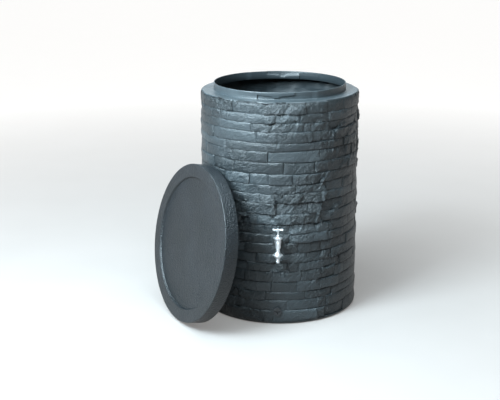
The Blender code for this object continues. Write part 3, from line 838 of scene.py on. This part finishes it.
def inside_rows(angles, heights, face):
    """The stones' negative inside the wall, on every second column, down to the tank's floor."""
    halved = angles[:, ::2]
    inner_shoulder = SHOULDER_HEIGHT - WALL
    rows = [ring(REGULAR[::2], SHOULDER_RADIUS - 0.016, inner_shoulder)]
    nominal = heights.mean(axis=1)
    spacing = len(COURSE_ROWS) + 1
    picks = []
    for k in range(COURSES - 1, -1, -1):
        steps = SEEN_STEPS if k >= COURSES - SEEN_COURSES else UNSEEN_STEPS
        picks += [spacing * k + step for step in steps]
    for pick in picks:
        # The inner face follows the lowest stone near each point, so that it never meets the outside
        near = np.abs(nominal - nominal[pick]) < 0.0075
        lowest = face[near].min(axis=0)
        lowest = np.minimum.reduce([np.roll(lowest, step) for step in (-2, -1, 0, 1, 2)])
        smooth = (lowest + np.roll(lowest, 1) + np.roll(lowest, -1)) / 3
        radius = wall_radius(heights[pick]) + np.minimum(smooth, 0.001) - WALL + 0.0004
        rows.append(ring(halved[pick], radius[::2], heights[pick][::2]))
    wall = flattened(np.array(rows[1:]), TAP_HEIGHT, TAP_PAD_BACK, TAP_PAD_REACH_INSIDE)
    rows[1:] = list(flattened(wall, DRAIN_HEIGHT, DRAIN_PAD_BACK, DRAIN_PAD_REACH_INSIDE))
    for degrees in INNER_CORNER_DEGREES:
        turn = math.radians(degrees)
        radius = BASE_RADIUS - 0.0095 - BASE_CORNER * (1 - math.cos(turn))
        rows.append(ring(REGULAR[::2], radius, WALL + BASE_CORNER * (1 - math.sin(turn))))
    rows.append(ring(REGULAR[::2], 0.5 * BASE_RADIUS, WALL))
    return rows


def point_values(mesh, name, values):
    """Stores one value for each point of the mesh, for the material to read."""
    attribute = mesh.attributes.new(name, "FLOAT", "POINT")
    attribute.data.foreach_set("value", values)


def band(low, high, count):
    """Quads between two rings of points, given by each ring's first point."""
    return [(low + i, low + (i + 1) % count, high + (i + 1) % count, high + i) for i in range(count)]


def tank_mesh():
    """The tank's skin as one closed mesh of rings, with half as many columns inside as outside."""
    angles, heights, face, tints, broken = relief()
    fine = outside_rows(angles, heights, face) + neck_rows()
    coarse = inside_rows(angles, heights, face)
    points = [(0, 0, 0), *np.concatenate(fine), *np.concatenate(coarse), (0, 0, WALL)]
    faces = []
    first = 1
    for i in range(COLUMNS):
        faces.append((0, first + (i + 1) % COLUMNS, first + i))
    for row in range(len(fine) - 1):
        faces += band(first + row * COLUMNS, first + (row + 1) * COLUMNS, COLUMNS)
    half = COLUMNS // 2
    a, b = first + (len(fine) - 1) * COLUMNS, first + len(fine) * COLUMNS
    for i in range(half):
        j = (i + 1) % half
        faces.append((a + 2 * i, a + 2 * i + 1, b + i))
        faces.append((a + 2 * i + 1, a + (2 * i + 2) % COLUMNS, b + j, b + i))
    for row in range(len(coarse) - 1):
        faces += band(b + row * half, b + (row + 1) * half, half)
    last = len(points) - 1
    c = b + (len(coarse) - 1) * half
    for i in range(half):
        faces.append((c + i, c + (i + 1) % half, last))
    mesh = bpy.data.meshes.new("tank_stone")
    mesh.from_pydata([tuple(p) for p in points], [], faces)
    wall_start = 1 + (1 + len(FOOT_DEGREES)) * COLUMNS
    wall_end = wall_start + tints.size
    lip_end = wall_end + (len(SHOULDER_DEGREES) + LIP_ROWS) * COLUMNS
    tint = np.full(len(points), 0.5, np.float32)
    tint[wall_start:wall_end] = tints.ravel()
    # The shoulder's corner and flat, the neck's outside and its outer lip get a lighter tint: painted light
    # on the top of the same plastic
    tint[wall_end:lip_end] = LIP_PAINTED_LIGHT
    point_values(mesh, "block_tone_and_painted_light", tint)
    riven = np.full(len(points), CALM_RIVEN, np.float32)
    riven[wall_start:wall_end] = (0.45 + 0.55 * broken).ravel()
    point_values(mesh, "riven", riven)
    return mesh


def through_wall(height, radius, face):
    """A round cutter along Y through the front wall."""
    builder = bmesh.new()
    place = along_front(height) @ Matrix.Translation((0, 0, face))
    bmesh.ops.create_cone(
        builder, cap_ends=True, segments=48, radius1=radius, radius2=radius, depth=0.06, matrix=place
    )
    return builder


def tank():
    grid = bmesh.new()
    grid.from_mesh(tank_mesh())
    cuts = [
        ("DIFFERENCE", through_wall(TAP_HEIGHT, TAP_HOLE, TAP_PAD_FACE)),
        ("DIFFERENCE", through_wall(DRAIN_HEIGHT, DRAIN_HOLE, DRAIN_PAD_FACE)),
    ]
    piece = new_piece("tank_stone", carved("tank_stone_cut", grid, cuts), "stone_plastic", TANK_SHARP)
    stands_for(piece, "root", "tank_shell")


# Lid


def lid_outline():
    """The lid's section with its face at height 0: the top from the centre out, then the underside."""
    foot = LID_PANEL_RADIUS - 0.0035
    inner = LID_RADIUS - WALL
    ring_low, ring_out = 0.004 - LID_DEPTH, LUG_RING_RADIUS + LUG_RING_WALL
    panel = [(r * foot / 6, -LID_PANEL_DEPTH) for r in range(6)]
    face = [(LID_PANEL_RADIUS + 0.0005, 0), (0.270, 0.0), (0.290, 0.0)]
    top = panel[:-1] + softened([panel[-1], (foot, -LID_PANEL_DEPTH), face[0]], 0.0016)[:-1]
    top += softened([top[-1], face[0], face[1]], 0.0014)[1:-1]
    top += face[1:]
    rim = [face[-1], (LID_RADIUS, 0), (LID_RADIUS, -0.020), (LID_RADIUS, -LID_DEPTH), (inner, -LID_DEPTH)]
    under = [(inner, -WALL), (ring_out, -WALL), (ring_out, ring_low), (LUG_RING_RADIUS, ring_low)]
    under += [(LUG_RING_RADIUS, -WALL), (LID_PANEL_RADIUS + WALL, -WALL)]
    under += [(foot + WALL, -LID_PANEL_DEPTH - WALL), (0.2, -LID_PANEL_DEPTH - WALL)]
    top += softened(rim + under, 0.0030, 4)[1:]
    top += [(0.1, -LID_PANEL_DEPTH - WALL), (0, -LID_PANEL_DEPTH - WALL)]
    return top


def lid_underside():
    """Gussets from the lug ring to the skirt, and the two lugs that run in the neck's channels."""
    outer = LUG_RING_RADIUS + LUG_RING_WALL / 2
    end = LID_RADIUS - WALL / 2
    size, centre = (end - outer, 0.003, 0.026), ((outer + end) / 2, 0, -0.0155)
    yield from boxes_around(RIB_COUNT, size, centre, 0.0006, Matrix.Identity(4), 0.5)
    low, high = 0.0005 - LID_DEPTH, 0.006 - LID_DEPTH
    for middle in (0, 180):
        lug = bmesh.new()
        edges = []
        for step in range(7):
            heading = math.radians(middle + LUG_DEGREES * (step / 6 - 0.5))
            x, y = math.cos(heading), math.sin(heading)
            across = [(LUG_REACH, low), (outer, low), (outer, high), (LUG_REACH, high)]
            edges.append([lug.verts.new((r * x, r * y, z)) for r, z in across])
        for a, b in zip(edges, edges[1:]):
            for i in range(4):
                lug.faces.new((a[i], a[(i + 1) % 4], b[(i + 1) % 4], b[i]))
        lug.faces.new(edges[0])
        lug.faces.new(edges[-1])
        yield lug


def lid():
    """The lid, with a slight unevenness in its panel, leaned as the hinge at its foot has it."""
    operations = [("UNION", builder) for builder in lid_underside()]
    mesh = carved("lid_blank", turned(lid_outline(), LID_SEGMENTS), operations)
    for vertex in mesh.vertices:
        reach = math.hypot(vertex.co.x, vertex.co.y)
        if reach < LID_WARP_RADIUS and vertex.co.z > -0.02:
            away = smooth_step((LID_WARP_RADIUS - reach) / 0.08)
            place = Vector((vertex.co.x, vertex.co.y, 3.0)) * 9.0
            vertex.co.z += LID_WARP * away * noise.noise(place)
    hinge = next(j for j in frame["joints"] if j["name"] == "lid_tip")["pos_m"]
    height = LID_DEPTH * math.sin(LID_LEAN) + LID_RADIUS * math.cos(LID_LEAN)
    foot = height * math.tan(LID_LEAN)
    stand = Matrix.Translation(hinge) @ Matrix.Rotation(LID_HEADING, 4, "Z")
    lean = Matrix.Translation((-foot, 0, height)) @ Matrix.Rotation(math.pi / 2 - LID_LEAN, 4, "Y")
    mesh.transform(stand @ lean)
    piece = new_piece("lid_moulding", mesh, "grained_plastic", LID_SHARP)
    stands_for(piece, "lid", "lid")


# Tap


def tap_body():
    """The spout and valve chamber, bored through, with the shank, its flange and the front boss."""
    upright = [(0, OUTLET_BOTTOM), (SHANK_RADIUS - 0.0006, OUTLET_BOTTOM)]
    upright += [(SHANK_RADIUS, OUTLET_BOTTOM + 0.0006)]
    upright += [(SHANK_RADIUS, OUTLET_TOP), (SHANK_RADIUS - 0.001, OUTLET_TOP + 0.0022)]
    upright += [(SPOUT_RADIUS, OUTLET_TOP + 0.008), (SPOUT_RADIUS, SEAT_HEIGHT - 0.006)]
    upright += [(BODY_RADIUS, SEAT_HEIGHT - 0.001), (BODY_RADIUS, BODY_TOP - 0.0042)]
    upright += [(BODY_RADIUS + 0.0012, BODY_TOP - 0.0032), (BODY_RADIUS + 0.0012, BODY_TOP), (0, BODY_TOP)]
    flange_back = TAP_PAD_FACE + 0.0025 + 2 * GAP
    inside_end = TAP_PAD_BACK - 0.0135
    shank = [(0, inside_end), (SHANK_RADIUS, inside_end), (SHANK_RADIUS, flange_back)]
    shank += [(SHANK_RADIUS, flange_back + 0.002), (0.010, flange_back + 0.005)]
    shank += [(0.009, -TAP_AXIS_Y), (0, -TAP_AXIS_Y)]
    boss_face = -TAP_AXIS_Y + BODY_RADIUS + 0.0015
    boss = [(0, boss_face - 0.009), (0.0065, boss_face - 0.009), (0.0065, boss_face)]
    boss += [(0.0048, boss_face), (0.0044, boss_face - 0.0006), (0.0030, boss_face - 0.0006)]
    boss += [(0.0026, boss_face), (0.0022, boss_face), (0.0016, boss_face - 0.0012), (0, boss_face - 0.0012)]
    waterway = [(0, OUTLET_BOTTOM - 0.01), (SPOUT_BORE, OUTLET_BOTTOM - 0.01), (SPOUT_BORE, SEAT_HEIGHT)]
    waterway += [(0.0066, SEAT_HEIGHT), (0.0070, SEAT_HEIGHT - 0.0015)]
    waterway += [(CHAMBER_RADIUS, SEAT_HEIGHT - 0.0015)]
    waterway += [(CHAMBER_RADIUS, BODY_TOP + 0.01), (0, BODY_TOP + 0.01)]
    inlet = [(0, inside_end - 0.01), (SHANK_BORE, inside_end - 0.01)]
    inlet += [(SHANK_BORE, -TAP_AXIS_Y), (0, -TAP_AXIS_Y)]
    on_shank = along_front(TAP_HEIGHT)
    operations = [
        ("UNION", moved(turned(softened(shank, 0.0008), 64), on_shank)),
        ("UNION", moved(turned(softened(boss, 0.0004, 2), 48), along_front(BODY_TOP - 0.009))),
        ("DIFFERENCE", moved(turned(waterway, 48), ON_TAP)),
        ("DIFFERENCE", moved(turned(inlet, 32), on_shank)),
    ]
    mesh = carved("tap_body_blank", moved(turned(softened(upright, 0.0009), 64), ON_TAP), operations)
    fitting("tap_casting", mesh, "root", "tap_body")
    # The shank's wall flange is a piece of its own in black plastic: the flange is real, and its black is
    # painted shade where the tap body shades the wall
    collar = [(SHANK_RADIUS + GAP, flange_back), (0.0158, flange_back)]
    collar += [(FLANGE_RADIUS, flange_back + 0.0004)]
    collar += [(FLANGE_RADIUS, flange_back + 0.0012), (0.0162, flange_back + 0.002)]
    collar += [(SHANK_RADIUS + GAP, flange_back + 0.002)]
    mesh = mesh_from("tap_wall_flange", moved(turned(softened(collar, 0.0003, 2), 64), on_shank))
    flange = new_piece("tap_wall_flange", mesh, "black_plastic", FITTING_SHARP)
    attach(flange, "root")


def tap_bonnet():
    """The headgear: a chamfered hexagon, a coned top and the spigot below, bored for the spindle."""
    cone = [(0, BONNET_FLAT_TOP - 0.001), (0.0128, BONNET_FLAT_TOP - 0.001)]
    cone += [(0.0128, BONNET_FLAT_TOP + 0.0004)]
    cone += [(0.0116, BONNET_FLAT_TOP + 0.0006), (0.0110, BONNET_FLAT_TOP + 0.0012)]
    cone += [(0.0072, BONNET_TOP), (0, BONNET_TOP)]
    spigot = [(0, SPIGOT_BOTTOM), (CHAMBER_RADIUS - GAP, SPIGOT_BOTTOM)]
    spigot += [(CHAMBER_RADIUS - GAP, BONNET_BOTTOM + 0.001), (0, BONNET_BOTTOM + 0.001)]
    room = SCREW_RADIUS + GAP
    bore = [(0, SPIGOT_BOTTOM - 0.01), (room, SPIGOT_BOTTOM - 0.01), (room, BONNET_BOTTOM)]
    bore += [(SPINDLE_RADIUS + GAP, BONNET_BOTTOM), (SPINDLE_RADIUS + GAP, GLAND_FLOOR)]
    bore += [(0.0050, GLAND_FLOOR), (0.0050, BONNET_TOP + 0.01), (0, BONNET_TOP + 0.01)]
    operations = [
        ("UNION", moved(turned(softened(cone, 0.0004, 2)), ON_TAP)),
        ("UNION", moved(turned(softened(spigot, 0.0004, 2)), ON_TAP)),
        ("DIFFERENCE", moved(turned(bore, 32), ON_TAP)),
    ]
    nut = moved(hexagon(0.030, BONNET_BOTTOM, BONNET_FLAT_TOP, 0.0007), ON_TAP)
    mesh = carved("tap_bonnet_blank", nut, operations)
    fitting("tap_headgear", mesh, "root", "tap_bonnet")


def tap_gland():
    """The gland nut: a coned cap with notches round it, screwed into the headgear."""
    foot = GLAND_FLOOR + 0.0019 + 2 * GAP
    seat = BONNET_TOP + GAP
    outline = [(SPINDLE_RADIUS + GAP, foot), (0.0047, foot), (0.0047, seat), (0.0062, seat)]
    outline += [(0.0062, seat + 0.0035), (0.0045, seat + 0.0062), (SPINDLE_RADIUS + GAP, seat + 0.0062)]
    notch = (0.0012, 0.0010, 0.0030)
    notches = boxes_around(GLAND_NOTCHES, notch, (0.0066, 0, seat + 0.0017), 0.0002, ON_TAP)
    cuts = [("DIFFERENCE", box) for box in notches]
    blank = moved(turned(softened(outline, 0.0004, 2)), ON_TAP)
    mesh = carved("tap_gland_blank", blank, cuts)
    fitting("tap_gland_cap", mesh, "root", "tap_gland_nut")


def tap_handle():
    """The T bar with turned grips and a hub over the spindle, and the slotted screw in its top."""
    half = HANDLE_LENGTH / 2
    bar = [(0, -half), (0.0036, -half), (HANDLE_RADIUS, 0.0009 - half), (HANDLE_RADIUS, 0.0035 - half)]
    bar += [(0.0040, 0.0042 - half), (0.0034, -0.0065), (0.0034, 0.0065), (0.0040, half - 0.0042)]
    bar += [(HANDLE_RADIUS, half - 0.0035), (HANDLE_RADIUS, half - 0.0009), (0.0036, half), (0, half)]
    across = ON_TAP @ Matrix.Translation((0, 0, HANDLE_HEIGHT)) @ Matrix.Rotation(math.pi / 2, 4, "Y")
    hub = [(0, HANDLE_HEIGHT - 0.0052), (0.0045, HANDLE_HEIGHT - 0.0052), (0.0052, HANDLE_HEIGHT - 0.0035)]
    hub += [(0.0052, HANDLE_HEIGHT + 0.0035), (0.0046, HANDLE_HEIGHT + 0.0043), (0, HANDLE_HEIGHT + 0.0043)]
    hole, roof = 0.0012, SPINDLE_TOP + GAP
    socket = [(0, HANDLE_HEIGHT - 0.02), (SPINDLE_RADIUS + GAP, HANDLE_HEIGHT - 0.02)]
    socket += [(SPINDLE_RADIUS + GAP, roof), (hole, roof), (hole, HANDLE_HEIGHT + 0.02)]
    socket += [(0, HANDLE_HEIGHT + 0.02)]
    operations = [
        ("UNION", moved(turned(softened(hub, 0.0005, 2)), ON_TAP)),
        ("DIFFERENCE", moved(turned(socket, 32), ON_TAP)),
    ]
    mesh = carved("tap_handle_blank", moved(turned(softened(bar, 0.0006, 3), 40), across), operations)
    fitting("tap_t_bar", mesh, "spindle", "tap_handle")
    head = HANDLE_HEIGHT + 0.0043 + GAP
    screw = [(0, head - 0.0065), (0.0009, head - 0.0065), (0.0009, head), (0.0028, head)]
    screw += [(0.0028, head + 0.0006), (0.0016, head + 0.0013), (0, head + 0.0013)]
    slot = solid_box((0.007, 0.0006, 0.0016), (0, 0, head + 0.0014), 0.0001)
    blank = moved(turned(softened(screw, 0.0002, 2), 32), ON_TAP)
    mesh = carved("tap_screw_blank", blank, [("DIFFERENCE", moved(slot, ON_TAP))])
    fitting("tap_bar_screw", mesh, "spindle", "tap_handle_screw", "steel")


def hose_union():
    """The barbed hose tail and the winged nut that draws it up to the outlet."""
    flange_top = OUTLET_BOTTOM - 0.0017 - 2 * GAP
    flange_bottom = flange_top - 0.0020
    tail = [(SPOUT_BORE, flange_top), (0.0120, flange_top), (0.0120, flange_bottom), (0.0072, flange_bottom)]
    for barb in (0.0175, 0.0125, 0.0075):
        tail += [(0.0071, TAIL_BOTTOM + barb + 0.0004), (0.0077, TAIL_BOTTOM + barb)]
    tail += [(0.0066, TAIL_BOTTOM + 0.0004), (0.0062, TAIL_BOTTOM), (SPOUT_BORE, TAIL_BOTTOM)]
    mesh = mesh_from("tap_hose_spigot", moved(turned(softened(tail, 0.0003, 2), 56), ON_TAP))
    fitting("tap_hose_spigot", mesh, "hose_tail", "tap_hose_tail")
    collar = flange_bottom - GAP
    room = SHANK_RADIUS + GAP
    nut = [(0.0081, collar), (room, collar), (room, OUTLET_TOP - 0.001), (0.0160, OUTLET_TOP - 0.001)]
    nut += [(0.0168, OUTLET_TOP - 0.0025), (0.0168, OUTLET_TOP - 0.006), (0.0105, collar - 0.0028)]
    nut += [(0.0081, collar - 0.0028)]
    wing = (0.0034, 0.0026, 0.0044)
    wings = boxes_around(NUT_WINGS, wing, (0.0172, 0, OUTLET_TOP - 0.0040), 0.0007, ON_TAP)
    operations = [("UNION", box) for box in wings]
    blank = moved(turned(softened(nut, 0.0005, 2), 56), ON_TAP)
    mesh = carved("tap_union_blank", blank, operations)
    fitting("tap_wing_nut", mesh, "union_nut", "tap_union_nut")


# Drain


def drain_plug():
    """A screwed plug with a cross slot in its face and a finely notched rim."""
    washer_low = DRAIN_PAD_FACE + GAP
    head = washer_low + DRAIN_WASHER + GAP
    face = head + 0.005
    tip = head - 0.0144
    outline = [(0, tip), (PLUG_THREAD - 0.001, tip), (PLUG_THREAD, tip + 0.001), (PLUG_THREAD, head)]
    outline += [(PLUG_HEAD, head), (PLUG_HEAD, face), (0.0150, face), (0.0146, face - 0.0006)]
    outline += [(0.0138, face - 0.0006), (0.0134, face), (0, face)]
    place = along_front(DRAIN_HEIGHT)
    length, width, depth = PLUG_SLOT
    depth += SLOT_EXTRA
    operations = []
    for across in ((width, length), (length, width)):
        # The two cuts differ slightly in depth, so that their floors don't coincide
        slot = solid_box((*across, 2 * depth + across[0] / 40), (0, 0, face), 0.0004)
        operations.append(("DIFFERENCE", moved(slot, place)))
    notch, centre = (0.0012, 0.0013, 0.0036), (PLUG_HEAD + 0.0001, 0, face - 0.0012)
    notches = boxes_around(RIM_NOTCHES, notch, centre, 0.0003, place, 0.5)
    operations += [("DIFFERENCE", box) for box in notches]
    blank = moved(turned(softened(outline, 0.0005), 72), place)
    mesh = carved("drain_plug_blank", blank, operations)
    fitting("drain_cap", mesh, "plug", "drain_plug", "black_plastic")


# Setting


def aimed_light(name, kind, place, target, colour):
    data = bpy.data.lights.new(name, kind)
    data.color = colour
    made = added(name, data)
    made.location = place
    made.rotation_euler = (Vector(target) - Vector(place)).to_track_quat("-Z", "Y").to_euler()
    return made


def area_light(name, place, target, size, radiance, colour):
    """A soft box of a given brightness, seen only by what it lights."""
    made = aimed_light(name, "AREA", place, target, colour)
    made.data.shape = "RECTANGLE"
    made.data.size, made.data.size_y = size
    made.data.energy = math.pi * size[0] * size[1] * radiance
    made.visible_camera = False


def sun_light(name, place, strength, spread, colour):
    """A far, wide light that falls evenly on the floor from the direction of a place."""
    made = aimed_light(name, "SUN", place, (0, 0, 0), colour)
    made.data.energy = strength
    made.data.angle = math.radians(spread)


def pale_floor():
    """A wide floor with a faint glow of its own, stronger away from the barrel."""
    builder = bmesh.new()
    bmesh.ops.create_grid(builder, x_segments=1, y_segments=1, size=FLOOR_HALF)
    mesh = mesh_from("floor", builder)
    floor = added("floor", mesh)
    pale = Finish("pale_floor", specular=0.1)
    pale.two_tone(pale.noise(3.0, 2.0), (0.207, 0.190, 0.181), (0.217, 0.199, 0.190))
    pale.shader.inputs["Roughness"].default_value = 0.9
    pale.shader.inputs["Emission Color"].default_value = (1.0, 0.98, 0.96, 1)
    pale.tree.links.new(pale.away_from_middle(*FLOOR_GLOW), pale.shader.inputs["Emission Strength"])
    mesh.materials.append(pale.material)
    floor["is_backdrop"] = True


def lights():
    """A near key and a wide sky light from the left front, and weaker light from all round."""
    world = bpy.data.worlds.new("studio")
    bpy.context.scene.world = world
    world.use_nodes = True
    background = world.node_tree.nodes["Background"]
    background.inputs["Color"].default_value = (1.0, 0.94, 0.88, 1)
    background.inputs["Strength"].default_value = 0.07
    sun_light("sky_key", (-2.0, -2.2, 2.6), 2.5, 30, (0.74, 0.91, 1.0))
    sun_light("backdrop", (0.0, 3.0, 1.1), 0.8, 50, (0.84, 0.94, 1.0))
    area_light("key", (-1.22, -1.40, 1.95), (0, 0, 0.65), (1.0, 1.0), 64.0, (0.72, 0.90, 1.0))
    area_light("top", (-0.2, -0.7, 2.6), (0, 0, 0.5), (2.3, 2.3), 9.0, (0.76, 0.92, 1.0))
    area_light("left_strip", (-2.6, -0.5, 1.3), (0, 0, 0.5), (0.6, 1.8), 4.0, (0.76, 0.92, 1.0))


def front_camera():
    """A camera in front of the barrel, looking a little down at it."""
    camera = bpy.data.cameras.new("camera")
    camera.sensor_width = SENSOR_WIDTH
    camera.lens = LENS
    camera.clip_end = CLIP_END
    made = added("camera", camera)
    made.location = CAMERA_PLACE
    made.rotation_euler = CAMERA_TURN
    bpy.context.scene.camera = made


for finish_name, node_names in NODE_FINISHES.items():
    for node_name in node_names:
        keep_node(node_name, finish_name)
tank()
lid()
tap_body()
tap_bonnet()
tap_gland()
tap_handle()
hose_union()
drain_plug()
bpy.context.scene.view_settings.view_transform = "Standard"
pale_floor()
lights()
front_camera()

boxes = {"cad": cad_box, "visual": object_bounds()}
{name: [list(corner) for corner in box] for name, box in boxes.items()}
